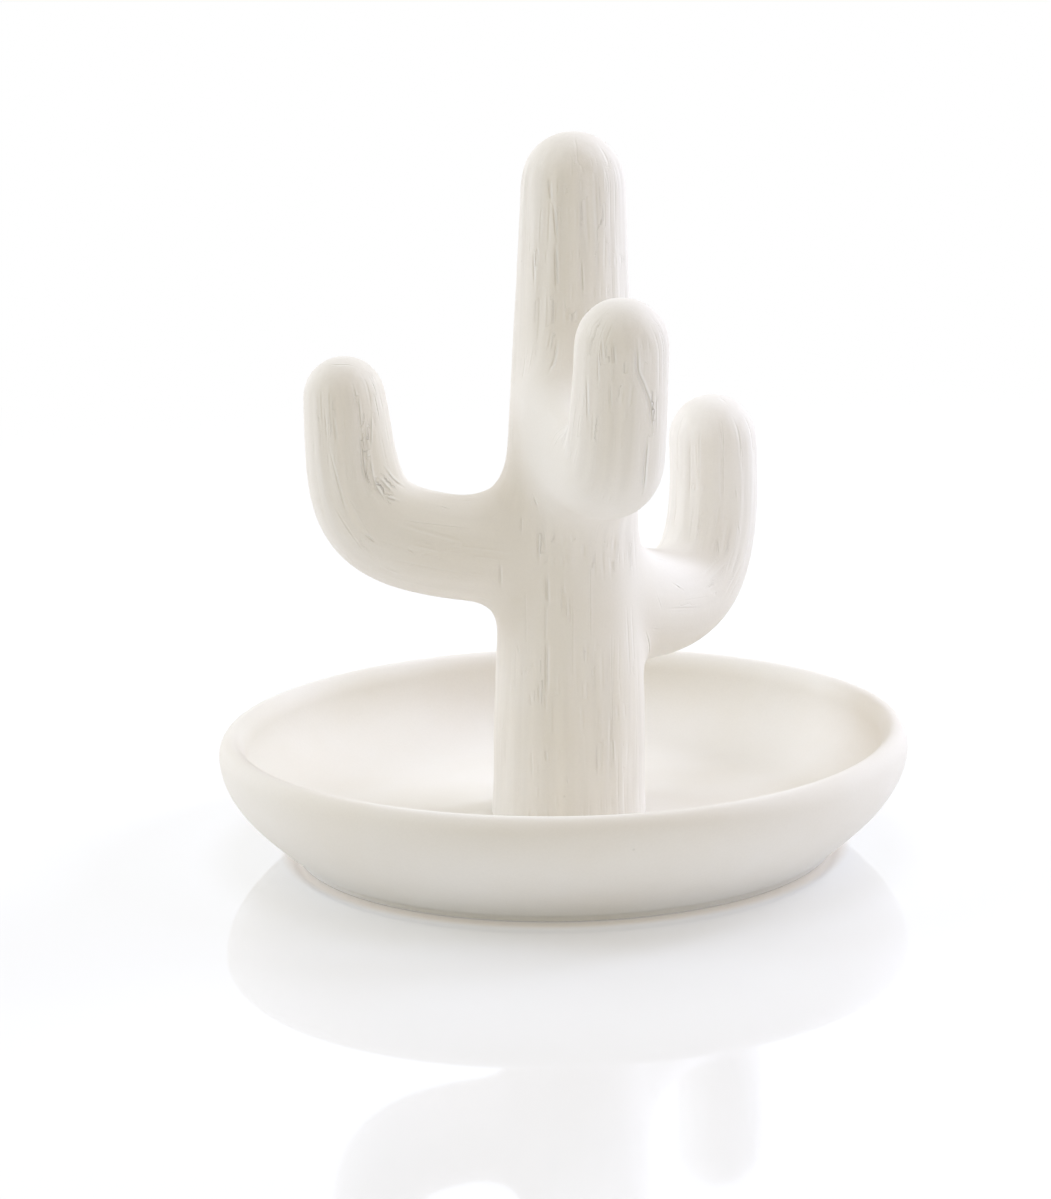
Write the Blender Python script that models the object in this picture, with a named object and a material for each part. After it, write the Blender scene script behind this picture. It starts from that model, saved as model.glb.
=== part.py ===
"""Ring holder: a bisque cactus with three upturned arms, standing in a round shallow dish.

Five slip-cast pieces, luted together with slip and fired once. Metres, +Z up. The origin is on
the table, at the middle of the dish. +X is to the right and +Y is away from the front.
"""

import math

import bpy
import bmesh
from mathutils import Vector

# Dish: a turned form on a low foot ring
DISH_RADIUS = 0.0550
DISH_HEIGHT = 0.0194
RIM_RISE = 0.0029
RIM_OUTSIDE_WIDTH = 0.0021
RIM_INSIDE_WIDTH = 0.0020
BELLY_OVERHANG = 0.0110
SOLE_STEP = 0.0009
FOOT_WIDTH = 0.0045
FOOT_HEIGHT = 0.0013
UNDERSIDE_HEIGHT = 0.0015
FLOOR_THICKNESS = 0.0038
WELL_SIDE_WIDTH = 0.0209
DRAIN_RADIUS = 0.0040
# How full the two curves of the bowl are: 1 is a plain oval, more is straighter, less is boxier
OUTER_CURVE_POWER = 2.27
INNER_CURVE_POWER = 0.75
RIM_STATIONS = 4
BOWL_STATIONS = 9
DISH_FACETS = 64

# Trunk: a hollow taper with a round tip, leaning a little to the right
TRUNK_LENGTH = 0.1087
TRUNK_FOOT_RADIUS = 0.0122
TRUNK_TIP_RADIUS = 0.0082
TRUNK_FLARE = 0.0008
TRUNK_FLARE_HEIGHT = 0.0045
TRUNK_WALL = 0.0035
TRUNK_FOOT_X = 0.0007
TRUNK_LEAN = math.radians(1.5)
TRUNK_FACETS = 36
TRUNK_STATIONS = 14
CAVITY_STATIONS = 8
FLARE_STATIONS = 3
# How much of the taper from tip to foot is left at each share of the straight part
TAPER_SHARES = ((0.00, 1.00), (0.25, 0.90), (0.50, 0.60), (0.75, 0.29), (1.00, 0.00))

# The luted seams, as the thin gap that stands for the slip between two pieces
SEAM_GAP = 0.0003

# Left arm
LEFT_TURN = math.radians(180.0)
LEFT_ROOT_HEIGHT = 0.0469
LEFT_TIP_HEIGHT = 0.0733
LEFT_REACH = 0.0350
LEFT_ROOT_RISE = 0.0082
LEFT_ROOT_SIDE = 0.0078
LEFT_ELBOW_RADIUS = 0.0081
LEFT_TIP_RADIUS = 0.0066
LEFT_ROOT_FLARE = 0.0045
LEFT_HANDLE_SHARES = ((1.01, 0.11), (0.95, 0.18))

# Right arm, which also runs to the back
RIGHT_TURN = math.radians(45.0)
RIGHT_ROOT_HEIGHT = 0.0400
RIGHT_TIP_HEIGHT = 0.0611
RIGHT_REACH = 0.0341
RIGHT_ROOT_RISE = 0.0112
RIGHT_ROOT_SIDE = 0.0085
RIGHT_ELBOW_RADIUS = 0.0084
RIGHT_TIP_RADIUS = 0.0073
RIGHT_ROOT_FLARE = 0.0018
RIGHT_HANDLE_SHARES = ((0.44, -0.09), (1.07, -0.73))

# Front arm
FRONT_TURN = math.radians(-76.0)
FRONT_ROOT_HEIGHT = 0.0658
FRONT_TIP_HEIGHT = 0.0852
FRONT_REACH = 0.0305
FRONT_ROOT_RISE = 0.0074
FRONT_ROOT_SIDE = 0.0072
FRONT_ELBOW_RADIUS = 0.0079
FRONT_TIP_RADIUS = 0.0072
FRONT_ROOT_FLARE = 0.0040
FRONT_HANDLE_SHARES = ((0.81, -0.04), (0.86, -0.30))

# What the three arms have alike
ROOT_FLARE_REACH = 0.0065
ARM_FACETS = 24
ARM_STATIONS = 22
DOME_STATIONS = 5

# How far a trimming block reaches past what it cuts
OVERRUN = 0.0020
# Points closer than this on a turned piece's axis become one
MERGE_DISTANCE = 0.00001
QUARTER_TURN = math.radians(90.0)
HALF_TURN = math.radians(180.0)
FULL_TURN = math.radians(360.0)

BISQUE_WHITE = (0.80, 0.78, 0.74, 1.0)
BISQUE_ROUGHNESS = 0.72

belly_height = DISH_HEIGHT - RIM_RISE
floor_height = UNDERSIDE_HEIGHT + FLOOR_THICKNESS
trunk_foot = Vector((TRUNK_FOOT_X, 0.0, floor_height + SEAM_GAP))
trunk_axis = Vector((math.sin(TRUNK_LEAN), 0.0, math.cos(TRUNK_LEAN)))


def clear_scene():
    """Remove whatever the open scene holds."""
    for old in list(bpy.data.objects):
        bpy.data.objects.remove(old, do_unlink=True)


def bisque(name):
    """Unglazed white clay, fired once."""
    material = bpy.data.materials.new(name)
    material.use_nodes = True
    shader = material.node_tree.nodes["Principled BSDF"]
    shader.inputs["Base Color"].default_value = BISQUE_WHITE
    shader.inputs["Roughness"].default_value = BISQUE_ROUGHNESS
    shader.inputs["Metallic"].default_value = 0.0
    material.diffuse_color = BISQUE_WHITE
    return material


def add_object(name, mesh):
    """Put a mesh in the scene, with a clay material of its own."""
    item = bpy.data.objects.new(name, mesh)
    bpy.context.scene.collection.objects.link(item)
    mesh.materials.append(bisque(name + "_bisque"))
    return item


def hide_cutter(item):
    """A cutter shapes other pieces and isn't a piece itself."""
    item.hide_render = True
    item.display_type = "WIRE"


def cut(item, cutter):
    """Take the cutter's shape out of a piece."""
    modifier = item.modifiers.new("cut_" + cutter.name, "BOOLEAN")
    modifier.operation = "DIFFERENCE"
    modifier.object = cutter


def oval_arc(middle, across, up, start, end, steps):
    """Points of an oval arc round a middle, as (radius, height), both ends included."""
    points = []
    for step in range(steps + 1):
        turn = start + (end - start) * step / steps
        points.append((middle[0] + across * math.cos(turn), middle[1] + up * math.sin(turn)))
    return points


def bowl_curve(low, high, power, steps):
    """Points of a bowl's side from its flat bottom to its steep top, as (radius, height)."""
    points = []
    for step in range(steps + 1):
        turn = QUARTER_TURN * step / steps
        radius = low[0] + (high[0] - low[0]) * math.sin(turn) ** power
        height = low[1] + (high[1] - low[1]) * (1.0 - math.cos(turn))
        points.append((radius, height))
    return points


def turned(name, outline, closed, facets):
    """Turn an outline of (radius, height) points once round the Z axis."""
    mesh = bpy.data.meshes.new(name)
    points = [(radius, 0.0, height) for radius, height in outline]
    edges = [(index, index + 1) for index in range(len(points) - 1)]
    if closed:
        edges.append((len(points) - 1, 0))
    mesh.from_pydata(points, edges, [])
    item = add_object(name, mesh)
    screw = item.modifiers.new("turn", "SCREW")
    screw.axis = "Z"
    screw.angle = FULL_TURN
    screw.steps = facets
    screw.render_steps = facets
    screw.use_merge_vertices = True
    screw.merge_threshold = MERGE_DISTANCE
    screw.use_smooth_shade = True
    return item


def make_dish():
    """The dish: rounded rim, bellied side, stepped foot ring, and a vent under the trunk."""
    crest_radius = DISH_RADIUS - RIM_OUTSIDE_WIDTH
    wall_radius = crest_radius - RIM_INSIDE_WIDTH
    sole_radius = DISH_RADIUS - BELLY_OVERHANG
    foot_radius = sole_radius - SOLE_STEP
    foot_inside = foot_radius - FOOT_WIDTH
    crest_middle = (crest_radius, belly_height)
    outside = bowl_curve((sole_radius, FOOT_HEIGHT), (DISH_RADIUS, belly_height), OUTER_CURVE_POWER,
                         BOWL_STATIONS)
    inside = bowl_curve((wall_radius - WELL_SIDE_WIDTH, floor_height), (wall_radius, belly_height),
                        INNER_CURVE_POWER, BOWL_STATIONS)
    outline = oval_arc(crest_middle, RIM_OUTSIDE_WIDTH, RIM_RISE, QUARTER_TURN, 0.0, RIM_STATIONS)
    outline += outside[-2::-1]
    outline += [(foot_radius, FOOT_HEIGHT), (foot_radius, 0.0), (foot_inside, 0.0)]
    outline += [(foot_inside, UNDERSIDE_HEIGHT), (DRAIN_RADIUS, UNDERSIDE_HEIGHT)]
    outline += [(DRAIN_RADIUS, floor_height)]
    outline += inside
    outline += oval_arc(crest_middle, RIM_INSIDE_WIDTH, RIM_RISE, HALF_TURN, QUARTER_TURN,
                        RIM_STATIONS)[1:-1]
    return turned("dish", outline, True, DISH_FACETS)


def between(pairs, at):
    """Read a smooth curve through (place, value) pairs."""
    last = len(pairs) - 1
    for index in range(last):
        here, there = pairs[index], pairs[index + 1]
        if at <= there[0] or index == last - 1:
            break
    before = pairs[max(index - 1, 0)]
    after = pairs[min(index + 2, last)]
    span = there[0] - here[0]
    part = min(max((at - here[0]) / span, 0.0), 1.0)
    leave = (there[1] - before[1]) / (there[0] - before[0]) * span
    arrive = (after[1] - here[1]) / (after[0] - here[0]) * span
    square, cube = part * part, part * part * part
    return ((2 * cube - 3 * square + 1) * here[1] + (cube - 2 * square + part) * leave
            + (3 * square - 2 * cube) * there[1] + (cube - square) * arrive)


def trunk_radius(height):
    """The trunk's outer radius at a height above its foot."""
    straight = TRUNK_LENGTH - TRUNK_TIP_RADIUS
    taper = between(TAPER_SHARES, max(height, 0.0) / straight)
    radius = TRUNK_TIP_RADIUS + (TRUNK_FOOT_RADIUS - TRUNK_TIP_RADIUS) * taper
    spread = min(max(1.0 - height / TRUNK_FLARE_HEIGHT, 0.0), 1.0)
    return radius + TRUNK_FLARE * spread * spread


def trunk_side(inset, stations):
    """The trunk's round tip and side from the top down, moved inwards by an inset."""
    straight = TRUNK_LENGTH - TRUNK_TIP_RADIUS
    tip = TRUNK_TIP_RADIUS - inset
    side = oval_arc((0.0, straight), tip, tip, QUARTER_TURN, 0.0, DOME_STATIONS)
    above_flare = straight - TRUNK_FLARE_HEIGHT
    heights = [TRUNK_FLARE_HEIGHT + above_flare * (1.0 - step / stations) for step in range(1, stations + 1)]
    heights += [TRUNK_FLARE_HEIGHT * (1.0 - step / FLARE_STATIONS) for step in range(1, FLARE_STATIONS + 1)]
    side += [(trunk_radius(height) - inset, height) for height in heights]
    side.append((trunk_radius(0.0) - inset, -OVERRUN))
    return side


def stand_on_floor(item):
    """Put a piece on the trunk's place, with its lean."""
    item.location = trunk_foot
    item.rotation_euler = (0.0, TRUNK_LEAN, 0.0)


def make_trunk():
    """The hollow trunk, its foot trimmed flat to stand on the dish's floor."""
    outline = trunk_side(0.0, TRUNK_STATIONS) + trunk_side(TRUNK_WALL, CAVITY_STATIONS)[::-1]
    trunk = turned("trunk", outline, False, TRUNK_FACETS)
    stand_on_floor(trunk)
    block_width = 2 * (TRUNK_FOOT_RADIUS + TRUNK_FLARE + OVERRUN)
    form = bmesh.new()
    bmesh.ops.create_cube(form, size=1.0)
    bmesh.ops.scale(form, vec=(block_width, block_width, 2 * OVERRUN), verts=form.verts)
    block_mesh = bpy.data.meshes.new("trunk_foot_trim")
    form.to_mesh(block_mesh)
    form.free()
    block = add_object("trunk_foot_trim", block_mesh)
    block.location = trunk_foot - Vector((0.0, 0.0, OVERRUN))
    hide_cutter(block)
    cut(trunk, block)


def make_seam_cutter():
    """The trunk's outside, grown by the seam's gap, which shapes the arms' saddles."""
    outline = trunk_side(-SEAM_GAP, TRUNK_STATIONS) + [(0.0, -OVERRUN)]
    cutter = turned("trunk_seam", outline, False, TRUNK_FACETS)
    stand_on_floor(cutter)
    hide_cutter(cutter)
    return cutter


def bezier(corners, part):
    """A point of the cubic curve through four corners, and its direction."""
    rest = 1.0 - part
    point = (corners[0] * rest ** 3 + corners[1] * 3 * rest * rest * part
             + corners[2] * 3 * rest * part * part + corners[3] * part ** 3)
    slope = ((corners[1] - corners[0]) * rest * rest + (corners[2] - corners[1]) * 2 * rest * part
             + (corners[3] - corners[2]) * part * part)
    return point, slope.normalized()


def through_three(first, middle, last, part):
    """A smooth value that passes the middle one half way."""
    rest = 1.0 - part
    return first * rest * (rest - part) + 4 * middle * part * rest + last * part * (part - rest)


def arm_stations(reach, rise, handles, radii, trunk_here):
    """Places along an arm from the trunk's axis to the tip, and the end of the tip.

    Each place is a middle, a direction, an up radius and a side radius. Near the trunk the up
    radius flares, as clay does where it is smoothed over a joint.
    """
    root_rise, root_side, elbow_radius, tip_radius, root_flare = radii
    corners = [Vector((0.0, 0.0, 0.0))]
    corners += [Vector((reach * out, 0.0, rise * up)) for out, up in handles]
    corners += [Vector((reach, 0.0, rise))]
    stations = []
    for step in range(ARM_STATIONS + 1):
        part = step / ARM_STATIONS
        point, along = bezier(corners, part)
        near = min(max(1.0 - (point.x - trunk_here) / ROOT_FLARE_REACH, 0.0), 1.0)
        up_radius = through_three(root_rise, elbow_radius, tip_radius, part) + root_flare * near * near
        side_radius = through_three(root_side, elbow_radius, tip_radius, part)
        stations.append((point, along, up_radius, side_radius))
    tip, along = bezier(corners, 1.0)
    for step in range(1, DOME_STATIONS):
        turn = QUARTER_TURN * step / DOME_STATIONS
        shrunk = tip_radius * math.cos(turn)
        stations.append((tip + along * tip_radius * math.sin(turn), along, shrunk, shrunk))
    return stations, tip + along * tip_radius


def arm_mesh(name, stations, end):
    """Loft oval rings square to the arm's centreline, and close both ends."""
    form = bmesh.new()
    rings = []
    sideways = Vector((0.0, 1.0, 0.0))
    for point, along, up_radius, side_radius in stations:
        upward = along.cross(sideways)
        ring = []
        for facet in range(ARM_FACETS):
            turn = FULL_TURN * facet / ARM_FACETS
            place = point + upward * up_radius * math.cos(turn) + sideways * side_radius * math.sin(turn)
            ring.append(form.verts.new(place))
        rings.append(ring)
    for lower, upper in zip(rings, rings[1:]):
        for facet in range(ARM_FACETS):
            beside = (facet + 1) % ARM_FACETS
            form.faces.new((lower[facet], lower[beside], upper[beside], upper[facet]))
    pole = form.verts.new(end)
    for facet in range(ARM_FACETS):
        form.faces.new((rings[-1][facet], rings[-1][(facet + 1) % ARM_FACETS], pole))
    form.faces.new(rings[0])
    bmesh.ops.recalc_face_normals(form, faces=form.faces)
    mesh = bpy.data.meshes.new(name)
    form.to_mesh(mesh)
    form.free()
    mesh.shade_smooth()
    return mesh


def make_arm(name, turn, root_height, tip_height, reach, handles, radii, cutter):
    """An arm that bends up from the trunk, with a saddle that fits the trunk's side."""
    up_the_trunk = (root_height - trunk_foot.z) / trunk_axis.z
    stations, end = arm_stations(reach, tip_height - root_height, handles, radii, trunk_radius(up_the_trunk))
    arm = add_object(name, arm_mesh(name, stations, end))
    arm.location = trunk_foot + trunk_axis * up_the_trunk
    arm.rotation_euler = (0.0, 0.0, turn)
    cut(arm, cutter)


clear_scene()
make_dish()
make_trunk()
seam_cutter = make_seam_cutter()
make_arm("left_arm", LEFT_TURN, LEFT_ROOT_HEIGHT, LEFT_TIP_HEIGHT, LEFT_REACH, LEFT_HANDLE_SHARES,
         (LEFT_ROOT_RISE, LEFT_ROOT_SIDE, LEFT_ELBOW_RADIUS, LEFT_TIP_RADIUS, LEFT_ROOT_FLARE), seam_cutter)
make_arm("right_arm", RIGHT_TURN, RIGHT_ROOT_HEIGHT, RIGHT_TIP_HEIGHT, RIGHT_REACH, RIGHT_HANDLE_SHARES,
         (RIGHT_ROOT_RISE, RIGHT_ROOT_SIDE, RIGHT_ELBOW_RADIUS, RIGHT_TIP_RADIUS, RIGHT_ROOT_FLARE),
         seam_cutter)
make_arm("front_arm", FRONT_TURN, FRONT_ROOT_HEIGHT, FRONT_TIP_HEIGHT, FRONT_REACH, FRONT_HANDLE_SHARES,
         (FRONT_ROOT_RISE, FRONT_ROOT_SIDE, FRONT_ELBOW_RADIUS, FRONT_TIP_RADIUS, FRONT_ROOT_FLARE),
         seam_cutter)
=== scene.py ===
import math
import bpy
import bmesh
import numpy as np
from mathutils import Matrix, Vector


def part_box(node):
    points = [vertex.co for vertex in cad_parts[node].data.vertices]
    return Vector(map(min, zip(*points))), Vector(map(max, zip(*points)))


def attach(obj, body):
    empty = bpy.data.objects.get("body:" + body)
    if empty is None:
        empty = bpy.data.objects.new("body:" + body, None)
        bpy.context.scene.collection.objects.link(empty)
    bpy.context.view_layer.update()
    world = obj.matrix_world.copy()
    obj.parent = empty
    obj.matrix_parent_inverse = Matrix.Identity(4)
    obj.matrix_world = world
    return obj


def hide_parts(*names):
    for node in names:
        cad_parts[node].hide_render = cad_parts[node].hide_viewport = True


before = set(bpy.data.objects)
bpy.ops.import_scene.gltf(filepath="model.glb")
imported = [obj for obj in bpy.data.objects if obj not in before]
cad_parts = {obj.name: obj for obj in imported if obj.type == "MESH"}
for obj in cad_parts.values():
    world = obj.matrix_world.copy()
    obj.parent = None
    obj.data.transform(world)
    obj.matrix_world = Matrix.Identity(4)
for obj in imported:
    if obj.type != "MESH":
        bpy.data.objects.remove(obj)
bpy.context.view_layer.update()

# Camera: a long lens a little above the rim, turned by a degree or so, as the photograph was taken.
# It comes first so that every size below can be judged in its frame.
image_width = 1051
focal_pixels = 3776.0
eye_distance = 0.600
eye_drop = math.radians(12.7)
eye_roll = math.radians(-1.3)
aim = Vector((-0.0055, 0.0, 0.0401))
forward = Vector((0.0, math.cos(eye_drop), -math.sin(eye_drop)))
level_right = Vector((1.0, 0.0, 0.0))
level_up = level_right.cross(forward)
right = math.cos(eye_roll) * level_right + math.sin(eye_roll) * level_up
up = math.cos(eye_roll) * level_up - math.sin(eye_roll) * level_right
film_width = 36.0


def put(name, data):
    """Make an object of a mesh, lamp or camera, and link it to the scene."""
    item = bpy.data.objects.new(name, data)
    bpy.context.scene.collection.objects.link(item)
    return item


camera_data = bpy.data.cameras.new("camera")
camera_data.sensor_fit = "HORIZONTAL"
camera_data.sensor_width = film_width
camera_data.lens = film_width * focal_pixels / image_width
camera_data.clip_start = 0.01
camera_data.clip_end = 30.0
camera = put("camera", camera_data)
stance = Matrix((right, up, -forward)).transposed()
camera.matrix_world = Matrix.Translation(aim - forward * eye_distance) @ stance.to_4x4()
bpy.context.scene.camera = camera
bpy.context.scene.view_settings.view_transform = "Standard"

# Table: a sheet of white acrylic, lit from all round, so it shows as white with a soft reflection
# of the ware. Near the foot it takes the shadow; far away it is plain white.
table_size = 12.0
table_drop = 0.0001
plain_white = (1.0, 1.0, 1.0, 1.0)
acrylic_white = (0.85, 0.85, 0.85, 1.0)
mirror_roughness = 0.03
mirror_strong = 0.40
mirror_weak = 0.24
mirror_fade_start = 0.040
mirror_fade_end = 0.200
plain_start = 0.16
plain_end = 0.45
shadow_share = 0.58
shadow_tint = (0.98, 1.00, 1.045)
# Painted warm shade in the thin line where the foot meets the table, tinted as the clay's bounced light,
# and the table's light back onto the ware
contact_start = 0.0438
contact_end = 0.0463
contact_shade_tint = (0.88, 0.80, 0.71)
floor_glow = (0.084, 0.096, 0.114, 1.0)
glow_start = 0.10
glow_end = 0.20


def emptied(tree):
    """A material's or a world's node tree with nothing left but its output."""
    for node in list(tree.nodes):
        if not node.type.startswith("OUTPUT"):
            tree.nodes.remove(node)
    return tree


def new_material(name):
    """A material and its emptied node tree."""
    material = bpy.data.materials.new(name)
    material.use_nodes = True
    return material, emptied(material.node_tree)


def add(tree, kind, **settings):
    """Add a node; a setting named after a socket fills it, and any other sets a property."""
    node = tree.nodes.new(kind)
    for name, value in settings.items():
        if hasattr(node, name):
            setattr(node, name, value)
        else:
            node.inputs[name.replace("_", " ")].default_value = value
    return node


def math_node(tree, operation, first, second=None, third=None, clamp=False):
    """A Math node whose inputs are numbers or sockets; gives its output socket."""
    node = tree.nodes.new("ShaderNodeMath")
    node.operation = operation
    node.use_clamp = clamp
    for socket, value in zip(node.inputs, (first, second, third)):
        if value is None:
            continue
        if isinstance(value, (int, float)):
            socket.default_value = value
        else:
            tree.links.new(value, socket)
    return node.outputs[0]


def ramp(tree, value, low, high, from_value, to_value):
    """Carry a value smoothly from one range to another."""
    node = tree.nodes.new("ShaderNodeMapRange")
    node.interpolation_type = "SMOOTHSTEP"
    tree.links.new(value, node.inputs["Value"])
    numbers = {"From Min": low, "From Max": high, "To Min": from_value, "To Max": to_value}
    for socket, number in numbers.items():
        node.inputs[socket].default_value = number
    return node.outputs["Result"]


table_mesh = bpy.data.meshes.new("table")
half = table_size / 2
corners = [(-half, -half), (half, -half), (half, half), (-half, half)]
table_mesh.from_pydata([(x, y, -table_drop) for x, y in corners], [], [(0, 1, 2, 3)])
table = put("table", table_mesh)
material, tree = new_material("white_acrylic")
links = tree.links
place = add(tree, "ShaderNodeTexCoord").outputs["Object"]
reach = add(tree, "ShaderNodeVectorMath", operation="LENGTH")
links.new(place, reach.inputs[0])
away = reach.outputs["Value"]
rays = add(tree, "ShaderNodeLightPath")
lit = add(tree, "ShaderNodeBsdfDiffuse")
glow = add(tree, "ShaderNodeEmission", Strength=1.0 - shadow_share)
# Near the foot the table's colour is darkened and warmed: painted shade under the foot
under_foot = ramp(tree, away, contact_start, contact_end, 1.0, 0.0)
for shader, tone in ((lit, [shadow_share * tint for tint in shadow_tint]), (glow, plain_white[:3])):
    contact_shade_tone = [value * tint for value, tint in zip(tone, contact_shade_tint)]
    contact_shaded = add(tree, "ShaderNodeMix", data_type="RGBA", A=(*tone, 1.0), B=(*contact_shade_tone, 1.0))
    links.new(under_foot, contact_shaded.inputs["Factor"])
    links.new(contact_shaded.outputs["Result"], shader.inputs["Color"])
seen = add(tree, "ShaderNodeAddShader")
links.new(lit.outputs[0], seen.inputs[0])
links.new(glow.outputs[0], seen.inputs[1])
mirror = add(tree, "ShaderNodeBsdfGlossy", Color=plain_white, Roughness=mirror_roughness)
gloss = add(tree, "ShaderNodeMixShader")
links.new(ramp(tree, away, mirror_fade_start, mirror_fade_end, mirror_strong, mirror_weak), gloss.inputs[0])
links.new(seen.outputs[0], gloss.inputs[1])
links.new(mirror.outputs[0], gloss.inputs[2])
plain = add(tree, "ShaderNodeEmission", Color=plain_white, Strength=1.0)
far = add(tree, "ShaderNodeMixShader")
links.new(ramp(tree, away, plain_start, plain_end, 0.0, 1.0), far.inputs[0])
links.new(gloss.outputs[0], far.inputs[1])
links.new(plain.outputs[0], far.inputs[2])
bounce = add(tree, "ShaderNodeBsdfDiffuse", Color=acrylic_white)
lift = add(tree, "ShaderNodeEmission", Color=floor_glow)
links.new(ramp(tree, away, glow_start, glow_end, 1.0, 0.0), lift.inputs["Strength"])
lifted = add(tree, "ShaderNodeAddShader")
links.new(bounce.outputs[0], lifted.inputs[0])
links.new(lift.outputs[0], lifted.inputs[1])
by_ray = add(tree, "ShaderNodeMixShader")
links.new(rays.outputs["Is Camera Ray"], by_ray.inputs[0])
links.new(lifted.outputs[0], by_ray.inputs[1])
links.new(far.outputs[0], by_ray.inputs[2])
links.new(by_ray.outputs[0], tree.nodes["Material Output"].inputs["Surface"])
table_mesh.materials.append(material)

# Light: a white tent with a soft lamp on each side, one behind each side and one above. Little comes
# from the front, which leaves the front of each round limb darker and warmer.
world_level = 0.553
world_tint = (1.00, 0.905, 0.70, 1.0)
# Each lamp: name, place, width and height, watts, colour
soft_lamps = (
    ("top_softbox", (0.00, 0.10, 0.90), (0.35, 0.60), 2.22, (0.73, 0.80, 1.00)),
    ("right_softbox", (0.739, -0.130, 0.449), (0.20, 0.40), 1.22, (0.64, 0.68, 1.00)),
    ("right_back_softbox", (0.650, 0.375, 0.449), (0.20, 0.40), 3.52, (0.75, 0.82, 1.00)),
    ("left_softbox", (-0.739, 0.130, 0.449), (0.30, 0.40), 2.39, (0.73, 0.83, 1.00)),
    ("left_back_softbox", (-0.692, 0.485, 0.139), (0.60, 0.50), 1.29, (0.97, 0.92, 1.00)),
)
lamp_aim = Vector((0.0, 0.0, 0.05))
world = bpy.data.worlds.new("white_tent")
bpy.context.scene.world = world
world.use_nodes = True
tree = emptied(world.node_tree)
rays = add(tree, "ShaderNodeLightPath")
shown = math_node(tree, "MAXIMUM", rays.outputs["Is Camera Ray"], rays.outputs["Is Glossy Ray"])
shown = math_node(tree, "MAXIMUM", shown, rays.outputs["Is Transmission Ray"])
tent = add(tree, "ShaderNodeBackground", Color=world_tint, Strength=world_level)
white = add(tree, "ShaderNodeBackground", Color=plain_white, Strength=1.0)
mixed = add(tree, "ShaderNodeMixShader")
tree.links.new(shown, mixed.inputs[0])
tree.links.new(tent.outputs[0], mixed.inputs[1])
tree.links.new(white.outputs[0], mixed.inputs[2])
tree.links.new(mixed.outputs[0], tree.nodes["World Output"].inputs["Surface"])
for name, spot, (wide, high), watts, tint in soft_lamps:
    lamp_data = bpy.data.lights.new(name, "AREA")
    lamp_data.shape = "RECTANGLE"
    lamp_data.size = wide
    lamp_data.size_y = high
    lamp_data.energy = watts
    lamp_data.color = tint
    lamp = put(name, lamp_data)
    lamp.location = spot
    lamp.rotation_euler = (lamp_aim - Vector(spot)).to_track_quat("-Z", "Y").to_euler()
    lamp.visible_camera = False

# Bisque: white clay fired once and left unglazed, dry to the touch. Its fine grain, faint warm
# clouds and few pinholes are one node group, which the dish and the cactus both use; the
# pinholes' darker colour is painted shade.
clay_white = (0.870, 0.848, 0.806, 1.0)
clay_warm = (0.855, 0.825, 0.770, 1.0)
clay_dryness = 0.80
clay_shine = 0.20
cloud_scale = 42.0
cloud_low = 0.30
cloud_high = 0.70
cloud_dryness = 0.12
grain_scale = 2600.0
grain_tone = 0.05
grain_height = 0.010
pinhole_scale = 210.0
pinhole_rarity = 0.965
pinhole_core = 0.01
pinhole_edge = 0.06
# How much the colour darkens inside each pinhole: painted shade in the pits
pinhole_painted_shade = 0.10
pinhole_depth = 0.04
# Heights in the clay's materials are in millimetres
bump_unit = 0.001


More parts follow.
